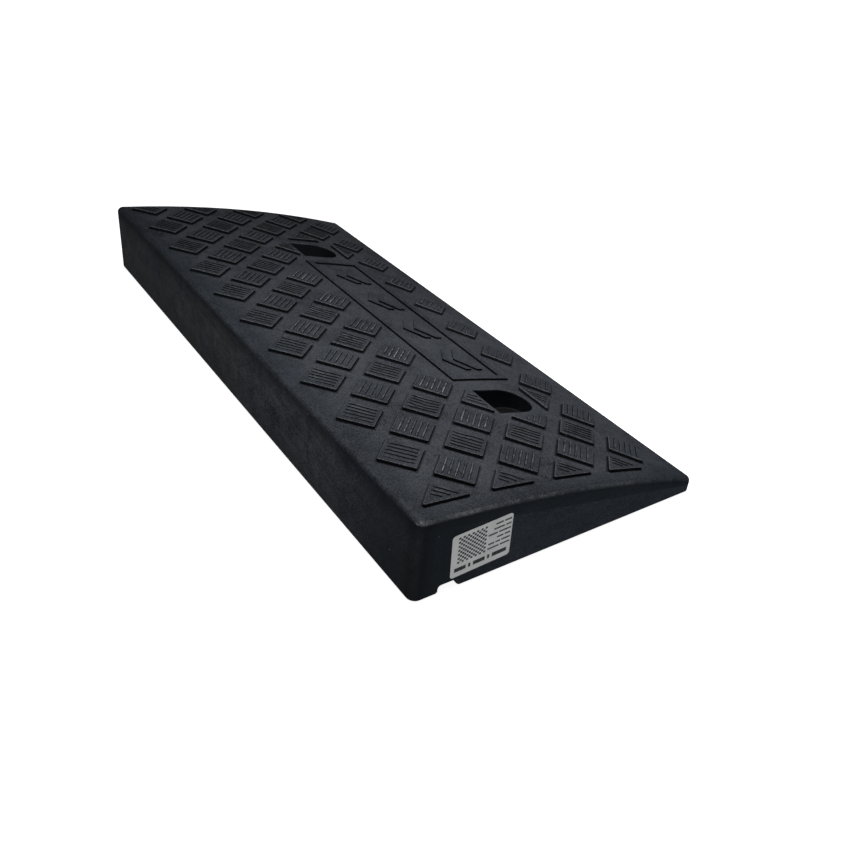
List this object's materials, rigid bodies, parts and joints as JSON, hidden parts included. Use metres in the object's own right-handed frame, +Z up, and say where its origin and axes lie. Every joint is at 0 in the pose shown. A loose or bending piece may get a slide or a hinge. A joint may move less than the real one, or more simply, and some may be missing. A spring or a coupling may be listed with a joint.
{
  "type": "cable ramp",
  "caption": "Black rubber wedge ramp with a crowned diamond-block tread, fixing pockets and a cable channel underneath; it carries wheels over a kerb or a cable.",
  "frame": {"origin": "on the floor, under the middle of the footprint", "axes": "+X runs downhill from the tall face to the toe, +Y along the ramp's length away from the end with the sticker, +Z up"},
  "size_m": [0.27, 0.6002, 0.07],
  "materials": {
    "moulded_rubber": "matte moulded rubber, scuffed and dusty",
    "washer_steel": "dull zinc-plated steel",
    "sticker_paper": "satin label paper with plain dark bars"
  },
  "bodies": {
    "root": {"ramp_body": "moulded_rubber", "fixing_washer_near": "washer_steel", "fixing_washer_far": "washer_steel", "end_sticker": "sticker_paper"}
  },
  "joints": []
}
